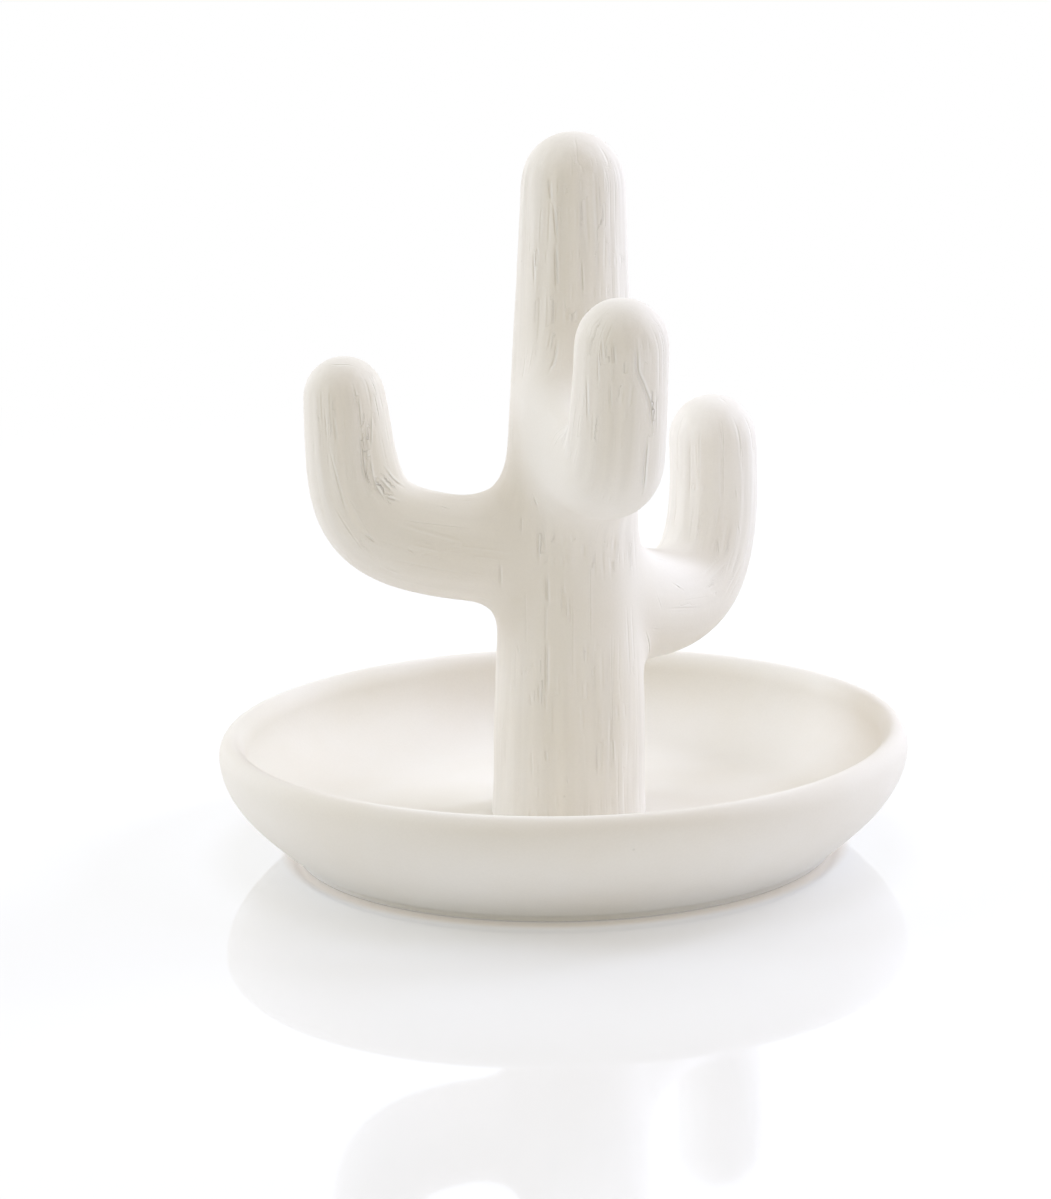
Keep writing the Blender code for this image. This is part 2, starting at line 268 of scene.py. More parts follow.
def clay_group():
    """Colour, roughness and height of fired clay, from a place on the piece, with painted shade in the
    pinholes.
    """
    group = bpy.data.node_groups.new("fired_clay", "ShaderNodeTree")
    for name, kind, value in (("Place", "Vector", None), ("Clay", "Color", clay_white),
                              ("Warm", "Color", clay_warm), ("Grain", "Float", grain_height),
                              ("Dryness", "Float", clay_dryness)):
        socket = group.interface.new_socket(name, in_out="INPUT", socket_type="NodeSocket" + kind)
        if value is not None:
            socket.default_value = value
    for name, kind in (("Color", "Color"), ("Roughness", "Float"), ("Height", "Float")):
        group.interface.new_socket(name, in_out="OUTPUT", socket_type="NodeSocket" + kind)
    taken = group.nodes.new("NodeGroupInput")
    given = group.nodes.new("NodeGroupOutput")
    cloud = add(group, "ShaderNodeTexNoise", Scale=cloud_scale, Detail=3.0, Roughness=0.55)
    grain = add(group, "ShaderNodeTexNoise", Scale=grain_scale, Detail=2.0, Roughness=0.6)
    pores = add(group, "ShaderNodeTexVoronoi", feature="F1", Scale=pinhole_scale)
    for texture in (cloud, grain, pores):
        group.links.new(taken.outputs["Place"], texture.inputs["Vector"])
    rare = add(group, "ShaderNodeSeparateColor")
    group.links.new(pores.outputs["Color"], rare.inputs[0])
    chosen = math_node(group, "GREATER_THAN", rare.outputs[0], pinhole_rarity)
    hole = ramp(group, pores.outputs["Distance"], pinhole_core, pinhole_edge, 1.0, 0.0)
    hole = math_node(group, "MULTIPLY", hole, chosen)
    tone = add(group, "ShaderNodeMix", data_type="RGBA")
    warmth = ramp(group, cloud.outputs["Fac"], cloud_low, cloud_high, 0.0, 1.0)
    group.links.new(warmth, tone.inputs["Factor"])
    group.links.new(taken.outputs["Clay"], tone.inputs["A"])
    group.links.new(taken.outputs["Warm"], tone.inputs["B"])
    shade = math_node(group, "MULTIPLY_ADD", grain.outputs["Fac"], grain_tone, 1 - grain_tone / 2)
    # Inside the pinholes the colour is darkened as painted shade
    shade = math_node(group, "SUBTRACT", shade, math_node(group, "MULTIPLY", hole, pinhole_painted_shade))
    toned = add(group, "ShaderNodeVectorMath", operation="SCALE")
    group.links.new(tone.outputs["Result"], toned.inputs[0])
    group.links.new(shade, toned.inputs["Scale"])
    group.links.new(toned.outputs[0], given.inputs["Color"])
    rough = math_node(group, "MULTIPLY_ADD", cloud.outputs["Fac"], cloud_dryness, -cloud_dryness / 2)
    rough = math_node(group, "ADD", rough, taken.outputs["Dryness"])
    group.links.new(rough, given.inputs["Roughness"])
    height = math_node(group, "MULTIPLY", grain.outputs["Fac"], taken.outputs["Grain"])
    height = math_node(group, "SUBTRACT", height, math_node(group, "MULTIPLY", hole, pinhole_depth))
    group.links.new(height, given.inputs["Height"])
    return group


def clay_material(name):
    """A material with the fired clay placed on the piece's own coordinates."""
    material, tree = new_material(name)
    place = add(tree, "ShaderNodeTexCoord").outputs["Object"]
    clay = add(tree, "ShaderNodeGroup")
    clay.node_tree = fired_clay
    tree.links.new(place, clay.inputs["Place"])
    return material, tree, place, clay


def finish_clay(tree, clay, colour, height):
    """Give the material's shader a colour and a height, and the clay's roughness."""
    bump = add(tree, "ShaderNodeBump", Strength=1.0, Distance=bump_unit)
    shader = add(tree, "ShaderNodeBsdfPrincipled", Specular_IOR_Level=clay_shine)
    tree.links.new(height, bump.inputs["Height"])
    tree.links.new(colour, shader.inputs["Base Color"])
    tree.links.new(clay.outputs["Roughness"], shader.inputs["Roughness"])
    tree.links.new(bump.outputs["Normal"], shader.inputs["Normal"])
    tree.links.new(shader.outputs[0], tree.nodes["Material Output"].inputs["Surface"])


fired_clay = clay_group()

# Dish: jiggered in one turn, sponged smooth, and standing on a low foot ring. The rim is thick and
# rounded, and the side bellies out from the foot, so the widest line lies just under the rim.
dish_low, dish_high = (Vector(corner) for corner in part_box("dish"))
dish_radius = (dish_high.x - dish_low.x) / 2
dish_height = dish_high.z
rim_rise = 0.0029
rim_outside = 0.0021
rim_wall = 0.0041
foot_inset = 0.0119
sole_step = 0.0009
foot_width = 0.0045
foot_height = 0.0013
foot_round = 0.0004
underside = 0.0015
floor_thickness = 0.0038
well_side = 0.0209
drain_radius = 0.0040
outer_power = 2.27
inner_power = 0.75
# How far the points of a bowl's side crowd towards its bottom, and how many steps each curve takes
crowding = 1.3
rim_outer_steps = 14
side_steps = 34
foot_steps = 4
well_steps = 40
rim_inner_steps = 12
# Where a ring of points breaks up the flat underside and the flat floor, as shares of their radius
underside_ring = 0.6
floor_ring = 0.5
dish_facets = 240
# The unevenness that drying leaves: its height, and each wave's count round the dish, share and turn
wobble = 0.00012
wobble_waves = ((2, 1.0, 0.6), (3, 0.6, 2.1))
belly_height = dish_height - rim_rise
crest_radius = dish_radius - rim_outside
well_wall = dish_radius - rim_wall
well_floor = well_wall - well_side
foot_radius = dish_radius - foot_inset
foot_inside = foot_radius - foot_width
floor_height = underside + floor_thickness


def quarter(middle, across, rise, start, end, steps):
    """Points of an oval arc between two angles in quarter turns, as (radius, height)."""
    angles = [math.pi / 2 * (start + (end - start) * step / steps) for step in range(steps + 1)]
    return [(middle[0] + across * math.cos(angle), middle[1] + rise * math.sin(angle)) for angle in angles]


def bowl(low, high, power, steps):
    """Points of a bowl's side, from its flat bottom to its steep top."""
    points = []
    for step in range(steps + 1):
        angle = math.pi / 2 * (step / steps) ** crowding
        points.append((low[0] + (high[0] - low[0]) * math.sin(angle) ** power,
                       low[1] + (high[1] - low[1]) * (1 - math.cos(angle))))
    return points


crest = (crest_radius, belly_height)
outline = quarter(crest, rim_outside, rim_rise, 1, 0, rim_outer_steps)
foot_top = (foot_radius + sole_step, foot_height)
outline += bowl(foot_top, (dish_radius, belly_height), outer_power, side_steps)[-2::-1]
outline += [(foot_radius, foot_height + foot_round / 2), (foot_radius, foot_round)]
outline += quarter((foot_radius - foot_round, foot_round), foot_round, foot_round, 0, -1, foot_steps)[1:]
outline += quarter((foot_inside + foot_round, foot_round), foot_round, foot_round, -1, -2, foot_steps)
outline += [(foot_inside, underside), (foot_inside * underside_ring, underside), (drain_radius, underside)]
outline += [(drain_radius, floor_height), (floor_ring * well_floor, floor_height)]
outline += bowl((well_floor, floor_height), (well_wall, belly_height), inner_power, well_steps)
outline += quarter(crest, rim_wall - rim_outside, rim_rise, 2, 1, rim_inner_steps)[1:-1]
form = bmesh.new()
rings = []
for facet in range(dish_facets):
    angle = math.tau * facet / dish_facets
    rise = wobble * sum(share * math.sin(number * angle + turn) for number, share, turn in wobble_waves)
    ring = []
    for radius, height in outline:
        lifted = height + rise * (height / dish_height) ** 2 * (radius / dish_radius) ** 2
        ring.append(form.verts.new((radius * math.cos(angle), radius * math.sin(angle), lifted)))
    rings.append(ring)
count = len(outline)
for facet in range(dish_facets):
    here, beside = rings[facet], rings[(facet + 1) % dish_facets]
    for step in range(count):
        after = (step + 1) % count
        form.faces.new((here[step], here[after], beside[after], beside[step]))
bmesh.ops.recalc_face_normals(form, faces=form.faces)
dish_mesh = bpy.data.meshes.new("dish_ware")
form.to_mesh(dish_mesh)
form.free()
dish_mesh.shade_smooth()
dish_ware = put("dish_ware", dish_mesh)
material, tree, _, clay = clay_material("sponged_bisque")
finish_clay(tree, clay, clay.outputs["Color"], clay.outputs["Height"])
dish_mesh.materials.append(material)
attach(dish_ware, "root")
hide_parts("dish")

# Cactus: a trunk and three upturned arms, cast apart and luted on with slip. The seams are
# smoothed over with a wet finger, so the fired whole is one skin from foot to tips.
trunk_top = Vector(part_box("trunk")[1]).z
trunk_foot_x = 0.0007
trunk_lean = math.radians(1.5)
trunk_foot_radius = 0.0122
trunk_tip_radius = 0.0082
trunk_flare = 0.0003
trunk_flare_height = 0.0045
trunk_taper = ((0.00, 1.00), (0.25, 0.90), (0.50, 0.60), (0.75, 0.29), (1.00, 0.00))
# The trunk goes on below the dish's floor and is cut off just under it; near its foot it has more samples
trunk_sunk = (-0.006, -0.003)
foot_sink = 0.0002
foot_zone = 0.005
foot_samples = 8
# Each arm: name, turn, root height, tip height, how far out it starts, reach, handles, radii at root,
# elbow and tip, and how wide the slip is smoothed over the joint, under the arm and over it
arm_sizes = (
    ("left_arm", math.radians(180.0), 0.0469, 0.0733, 0.0, 0.0350, ((1.01, 0.11), (0.95, 0.18)),
     (0.0081, 0.0081, 0.0066), (0.0050, 0.0085)),
    ("right_arm", math.radians(45.0), 0.0400, 0.0611, 0.0, 0.0341, ((0.44, -0.09), (1.07, -0.73)),
     (0.0112, 0.0084, 0.0073), (0.0040, 0.0050)),
    ("front_arm", math.radians(-76.0), 0.0659, 0.0852, 0.003, 0.0305, ((0.81, -0.04), (0.86, -0.30)),
     (0.0094, 0.0080, 0.0072), (0.0080, 0.0130)),
)
# How flat-sided each limb is on the inner side of its bend, where the slip filled the corner
flat_sides = (0.0, 0.0, 0.0, 2.0)
# How the slip at a joint thins out: away from the arm's side of the trunk, and on the joint's flanks
side_shift = 0.1
side_span = 0.7
side_least = 0.08
flank_gain = 1.3
flank_least = 0.10
limb_samples = 56
tube_facets = 40
dome_steps = 8
skin_cell = 0.00044
skin_draws = 3
finger_rounds = 27
# Where the comb reached: less over the tips, on level clay and within a seam's reach of a joint
tip_smoothing = 0.8
level_lean = 0.55
level_span = 0.35
level_least = 0.45
seam_reach = 0.004
seam_start = 0.15
seam_span = 0.6
limb_spacing = 0.05
# Grooves and streaks that the comb leaves, in millimetres where they are heights; the grooves' darker
# colour is painted shade, the lips' paler colour a painted highlight
groove_sharpness = 2.2
comb_depth = 0.060
mark_depth = 0.17
# Inside each groove the colour darkens towards a brown: painted shade, beside the groove's real bump
groove_shade = 0.80
groove_shade_tone = (0.600, 0.540, 0.450, 1.0)
lip_turn = 1.55
lip_rise = 0.30
# On each groove's raised lip the colour is lightened: a painted highlight, beside the lip's real bump
lip_highlight_share = 4.0
lip_highlight_tone = (0.980, 0.972, 0.955, 1.0)
streak_scale = 1050.0
streak_stretch = 0.045
streak_depth = 0.040
band_scale = 700.0
band_tone = 0.13
patch_scale = 75.0
patch_low = 0.42
patch_high = 0.58
patch_least = 0.35
# The brush's flutes, and the comb's teeth where a stroke's edge, its ends and the clay past them fade
flute_stretch = 0.10
flute_level = 0.62
flute_gain = 4.0
scatter_tries = 2.0
fewest_teeth = 0.6
pitch_least = 0.6
pitch_spread = 0.8
pass_points = 18
mark_step = 0.0004
edge_start = -0.20
edge_end = 0.10
end_fade = 0.22
end_force = 0.25
past_start = 0.0005
past_end = 0.0010
comb_sizes = (
    ("Seed", 7), ("Pass Spacing", 0.0030), ("Shortest Pass", 0.0012), ("Longest Pass", 0.0110),
    ("Most Teeth", 3.0), ("Tooth Pitch", 0.00115), ("Weakest Force", 0.15), ("Sway", 0.05),
    ("Flute Width", 0.0022), ("Flute Depth", 0.00010), ("Trough Depth", 0.00003),
)
# The marks that stand out, as (force, points in millimetres), laid on the skin where they pass
drawn_marks = (
    (0.7, ((-0.4, -7.2, 106.9), (-0.3, -7.5, 104.3))), (0.8, ((0.1, -7.7, 103.6), (0.5, -8.1, 98.3))),
    (0.9, ((0.3, -8.1, 97.3), (0.3, -8.5, 91.1))), (0.7, ((-3.1, -6.1, 96.2), (-3.1, -6.6, 91.2))),
    (0.6, ((4.2, -8.6, 94.9), (4.3, -8.8, 90.2))), (0.6, ((-2.5, -6.6, 97.2), (-2.5, -6.7, 94.8))),
    (0.7, ((0.3, -9.0, 82.4), (0.0, -9.2, 77.3))), (0.6, ((-4.6, -6.1, 79.8), (-4.6, -6.4, 76.4))),
    (0.4, ((8.3, -6.4, 107.4), (8.3, -6.6, 105.3))), (0.5, ((6.5, -35.8, 86.9), (6.6, -36.0, 84.0))),
    (0.7, ((8.1, -36.6, 86.3), (8.2, -36.5, 83.3))), (0.5, ((5.9, -35.7, 85.1), (5.8, -35.2, 80.3))),
    (0.7, ((4.2, -34.0, 80.7), (4.1, -33.4, 74.6))), (0.6, ((7.5, -36.0, 80.2), (7.6, -35.5, 76.6))),
    (1.0, ((11.6, -36.4, 86.4), (11.8, -36.2, 82.4), (12.7, -35.4, 79.9), (13.7, -34.3, 76.8),
           (14.0, -33.2, 72.5))),
    (1.0, ((13.2, -33.4, 71.4), (12.9, -31.9, 66.9), (12.5, -29.4, 62.8))),
    (0.5, ((14.7, -33.8, 78.2), (14.6, -32.6, 72.7))), (0.9, ((-3.2, -9.1, 58.7), (-3.0, -9.2, 57.3))),
    (0.5, ((-5.7, -7.4, 54.9), (-5.8, -7.5, 52.7))), (0.7, ((-3.4, -9.3, 53.2), (-3.4, -9.7, 48.5))),
    (0.4, ((-2.5, -9.8, 53.6), (-2.4, -10.0, 50.4))), (0.7, ((-9.5, -8.2, 47.7), (-9.4, -7.4, 44.3))),
    (0.9, ((-2.2, -10.4, 45.9), (-2.1, -10.6, 41.8))), (0.5, ((-2.4, -10.5, 41.8), (-2.6, -10.8, 35.6))),
    (1.0, ((-2.4, -10.9, 35.6), (-2.6, -11.2, 27.6))), (0.5, ((-2.8, -11.1, 27.6), (-2.8, -11.2, 25.0))),
    (0.7, ((0.3, -11.0, 45.2), (0.2, -11.3, 40.4))), (0.5, ((0.7, -11.2, 43.0), (0.8, -11.4, 39.2))),
    (0.5, ((-7.0, -8.0, 34.7), (-6.8, -8.3, 33.3))), (0.5, ((-6.4, -8.9, 30.7), (-6.3, -9.0, 29.6))),
    (0.5, ((-5.6, -9.5, 31.3), (-5.8, -9.4, 30.2))), (0.4, ((-4.5, -10.1, 32.2), (-4.5, -10.2, 31.3))),
    (0.7, ((-3.8, -10.7, 28.6), (-3.7, -10.8, 25.6))), (0.5, ((-5.1, -10.0, 26.9), (-5.0, -10.1, 25.5))),
    (0.8, ((7.6, -10.0, 19.4), (7.7, -10.0, 15.5))), (0.25, ((7.8, -9.7, 35.4), (7.6, -10.0, 19.6))),
    (0.4, ((-5.1, -10.3, 18.0), (-5.1, -10.5, 13.8))), (0.6, ((-2.9, -11.3, 18.2), (-2.8, -11.4, 16.5))),
    (0.4, ((0.3, -12.1, 14.1), (0.4, -12.1, 13.0))), (0.25, ((-5.5, -8.6, 43.5), (-5.6, -9.3, 34.0))),
    (0.25, ((1.8, -11.3, 42.3), (1.5, -11.9, 28.0))), (0.25, ((4.7, -10.6, 48.5), (4.5, -11.2, 35.8))),
    (0.7, ((13.4, -1.3, 34.2), (13.6, 2.6, 30.5))), (0.6, ((18.7, 5.2, 40.7), (19.5, 5.9, 40.0))),
    (0.6, ((15.7, 0.3, 39.4), (15.9, 0.4, 38.9))), (0.6, ((25.9, 15.8, 45.6), (26.0, 15.2, 43.6))),
    (0.5, ((29.4, 17.5, 47.9), (29.6, 17.5, 46.4))), (0.4, ((29.0, 17.6, 53.7), (29.1, 17.6, 52.3))),
    (0.5, ((18.3, 23.1, 50.5), (18.2, 21.9, 48.6))), (0.3, ((23.4, 17.6, 63.5), (23.1, 17.4, 55.3))),
    (0.3, ((27.0, 17.6, 64.3), (27.0, 16.9, 52.0))), (0.3, ((21.8, 18.0, 61.9), (21.5, 18.1, 51.9))),
    (0.7, ((-30.8, -6.1, 74.1), (-30.5, -6.5, 69.1))),
    (1.1, ((-30.5, -6.5, 69.1), (-30.4, -6.9, 65.2), (-30.2, -7.1, 62.6), (-29.6, -7.3, 60.2))),
    (0.8, ((-29.8, -6.1, 69.8), (-29.8, -6.7, 65.2), (-29.3, -6.9, 62.0), (-28.8, -7.0, 60.1))),
    (0.9, ((-29.3, -6.5, 64.7), (-29.0, -6.8, 61.5), (-28.1, -6.8, 59.4), (-26.9, -6.8, 57.8))),
    (1.2, ((-26.8, -5.2, 62.4), (-25.8, -4.6, 60.9), (-24.6, -3.6, 59.7))),
    (1.1, ((-27.8, -6.3, 61.1), (-26.3, -5.8, 59.2))), (1.0, ((-27.0, -6.6, 58.4), (-25.5, -6.1, 57.7))),
    (0.7, ((-28.9, -5.4, 71.2), (-29.1, -6.2, 66.5))), (0.6, ((-28.2, -4.3, 74.0), (-27.7, -4.3, 70.8))),
    (0.6, ((-31.4, -5.9, 75.6), (-30.8, -6.4, 71.6))), (0.5, ((-34.7, -6.5, 71.4), (-34.4, -6.8, 67.7))),
    (0.4, ((-36.1, -6.0, 72.0), (-35.9, -6.2, 68.1))),
    (0.4, ((-35.5, -6.5, 66.1), (-34.4, -7.1, 61.4), (-33.2, -7.5, 56.4))),
    (0.6, ((-30.4, -7.9, 52.9), (-28.9, -8.0, 51.7))), (0.4, ((-24.1, -8.3, 50.6), (-22.6, -8.3, 49.7))),
    (0.5, ((-18.5, -4.5, 56.4), (-17.5, -4.6, 56.1))), (0.4, ((-34.8, -2.9, 79.0), (-32.0, -3.2, 79.0))),
    (0.4, ((-28.6, -3.6, 76.4), (-28.0, -3.9, 74.6))), (0.25, ((-24.8, -7.4, 54.9), (-13.9, -6.8, 53.2))),
    (0.2, ((-25.7, -7.8, 48.6), (-14.1, -7.9, 45.9))),
)


def quadratic(first, middle, last, part):
    """A smooth value that passes the middle one half way."""
    ends = first * (1 - part) * (1 - 2 * part) + 4 * middle * part * (1 - part)
    return ends + last * part * (2 * part - 1)


def trunk_limb():
    """Middles, radii and sideways directions along the trunk, from under its foot to its tip."""
    bottom = Vector((trunk_foot_x, 0.0, floor_height))
    axis = Vector((math.sin(trunk_lean), 0.0, math.cos(trunk_lean)))
    length = trunk_top - floor_height - trunk_tip_radius
    heights = np.concatenate([trunk_sunk, np.linspace(0, foot_zone, foot_samples)[:-1],
                              np.linspace(foot_zone, length, limb_samples)])
    shares, tapers = zip(*trunk_taper)
    smooth = np.polyfit(shares, tapers, len(shares) - 1)
    taper = np.polyval(smooth, np.clip(heights / length, 0, 1))
    spread = np.clip(1 - heights / trunk_flare_height, 0, 1)
    radii = trunk_tip_radius + (trunk_foot_radius - trunk_tip_radius) * taper + trunk_flare * spread ** 2
    points = np.array([bottom + axis * float(height) for height in heights])
    return points, radii, np.array((0.0, 1.0, 0.0)), flat_sides[0]


def arm_limb(turn, root_height, tip_height, start, reach, handles, radii, flatness):
    """The same for an arm, whose middle line bends up from the trunk's axis."""
    outward = np.array((math.cos(turn), math.sin(turn), 0.0))
    upward = np.array((0.0, 0.0, 1.0))
    along_trunk = (root_height - floor_height) * math.tan(trunk_lean)
    root = np.array((trunk_foot_x + along_trunk, 0.0, root_height))
    rise = tip_height - root_height
    corners = [(start, 0.0)] + [(reach * out, rise * lift) for out, lift in handles] + [(reach, rise)]
    part = np.linspace(0, 1, limb_samples)[:, None]
    weights = ((1 - part) ** 3, 3 * (1 - part) ** 2 * part, 3 * (1 - part) * part ** 2, part ** 3)
    flat = sum(weight * np.array(corner) for weight, corner in zip(weights, corners))
    points = root + flat[:, :1] * outward + flat[:, 1:] * upward
    sideways = np.cross(upward, outward)
    return points, quadratic(*radii, part[:, 0]), sideways, flatness


def measure(places, limb):
    """Each place's distance to a limb's surface, its ray from the middle line, and where it is."""
    points, radii, sideways, flatness = limb
    step = points[1:] - points[:-1]
    lengths = np.linalg.norm(step, axis=1)
    travelled = np.concatenate([[0], np.cumsum(lengths)])
    best = np.full(len(places), np.inf)
    rays = np.zeros((len(places), 3))
    ways = np.zeros((len(places), 3))
    along = np.zeros(len(places))
    for index in range(len(step)):
        offset = places - points[index]
        share = np.clip(offset @ step[index] / lengths[index] ** 2, 0, 1)
        ray = offset - share[:, None] * step[index]
        gap = np.linalg.norm(ray, axis=1) - radii[index] - (radii[index + 1] - radii[index]) * share
        nearer = gap < best
        best[nearer] = gap[nearer]
        rays[nearer] = ray[nearer]
        ways[nearer] = step[index] / lengths[index]
        along[nearer] = travelled[index] + share[nearer] * lengths[index]
    if flatness > 0:
        lift = (rays * np.cross(ways, sideways)).sum(axis=1)
        across = np.abs(rays @ sideways)
        power = 2 + flatness * (1 - ways[:, 2] ** 2)
        wide = (np.abs(lift) ** power + across ** power) ** (1 / power)
        wide = np.hypot(wide, (rays * ways).sum(axis=1))
        best = np.where(lift > 0, best + wide - np.linalg.norm(rays, axis=1), best)
    return best, rays, ways, along


def unit(vectors):
    """The same directions, one long."""
    return vectors / np.maximum(np.linalg.norm(vectors, axis=1), 1e-9)[:, None]


def blended(places, limbs, fillets):
    """Distance and way out of the smoothed whole."""
    distance, rays, _, _ = measure(places, limbs[0])
    trunk_out = unit(rays)
    out = trunk_out
    for limb, (under, above) in zip(limbs[1:], fillets):
        other, rays, ways, _ = measure(places, limb)
        height = (rays * np.cross(ways, limb[2])).sum(axis=1) / limb[1].mean()
        fillet = under + (above - under) * np.clip(0.5 + 0.5 * height, 0, 1)
        facing = trunk_out @ np.cross(limb[2], (0.0, 0.0, 1.0))
        facing = np.clip((facing + side_shift) / side_span, side_least, 1)
        flank = 1 - (trunk_out @ limb[2]) * (unit(rays) @ limb[2])
        flank = np.clip(flank_gain * flank, flank_least, 1)
        fillet = fillet * facing * flank
        share = np.clip(0.5 + 0.5 * (other - distance) / fillet, 0, 1)
        distance = other * (1 - share) + distance * share - fillet * share * (1 - share)
        out = unit(rays) * (1 - share)[:, None] + out * share[:, None]
    return distance, unit(out)


def settle(places, pairs, rounds):
    """Even the skin out, as a wet finger does: each place moves half way to its neighbours' middle."""
    starts = np.concatenate([pairs[:, 0], pairs[:, 1]])
    ends = np.concatenate([pairs[:, 1], pairs[:, 0]])
    beside = np.bincount(starts)[:, None]
    for _ in range(rounds):
        total = np.stack([np.bincount(starts, weights=places[ends, axis]) for axis in range(3)], axis=1)
        places = 0.5 * places + 0.5 * total / beside
    return places


def grain_of(places, limbs):
    """Which way each place was combed, its own place on its limb, and how well combed it is."""
    found = [measure(places, limb) for limb in limbs]
    gaps = np.array([item[0] for item in found])
    owner = gaps.argmin(axis=0)
    nearest = gaps.min(axis=0)
    way = np.zeros((len(places), 3))
    local = np.zeros((len(places), 3))
    combed = np.ones(len(places))
    for number, (limb, (gap, rays, ways, along)) in enumerate(zip(limbs, found)):
        mine = owner == number
        around = unit(rays) * limb[1].mean()
        over = (around * np.cross(ways, limb[2])).sum(axis=1)
        way[mine] = ways[mine]
        local[mine] = np.stack([over, around @ limb[2] + limb_spacing * number, along], axis=1)[mine]
        tip = np.clip((rays * ways).sum(axis=1) / limb[1][-1], 0, 1)
        least = 0.0 if limb[3] > 0 else level_least
        upright = np.clip((ways[:, 2] - level_lean) / level_span, least, 1)
        combed[mine] = ((1 - tip_smoothing * tip) * upright)[mine]
    for number in range(1, len(limbs)):
        rest = np.delete(gaps, number, axis=0).min(axis=0)
        open_clay = np.clip((np.abs(rest - gaps[number]) / seam_reach - seam_start) / seam_span, 0, 1)
        combed *= np.where(np.minimum(rest, gaps[number]) > nearest + 1e-6, 1, open_clay)
    return way, local, combed * combed * (3 - 2 * combed)


def tube(form, limb):
    """A closed round tube along a limb, as the rough clay that the skin is drawn from."""
    points, radii, sideways, _ = limb
    tangents = np.gradient(points, axis=0)
    tangents /= np.linalg.norm(tangents, axis=1)[:, None]
    tip = [(points[-1] + tangents[-1] * radii[-1] * math.sin(a), radii[-1] * math.cos(a), tangents[-1])
           for a in np.linspace(0, math.pi / 2, dome_steps)[1:-1]]
    stations = list(zip(points, radii, tangents)) + tip
    rings = []
    for middle, radius, tangent in stations:
        over = np.cross(tangent, sideways)
        rings.append([form.verts.new(middle + radius * (math.cos(a) * over + math.sin(a) * sideways))
                      for a in np.linspace(0, math.tau, tube_facets, endpoint=False)])
    for lower, upper in zip(rings, rings[1:]):
        for facet in range(tube_facets):
            beside = (facet + 1) % tube_facets
            form.faces.new((lower[facet], lower[beside], upper[beside], upper[facet]))
    form.faces.new(rings[0])
    form.faces.new(rings[-1])


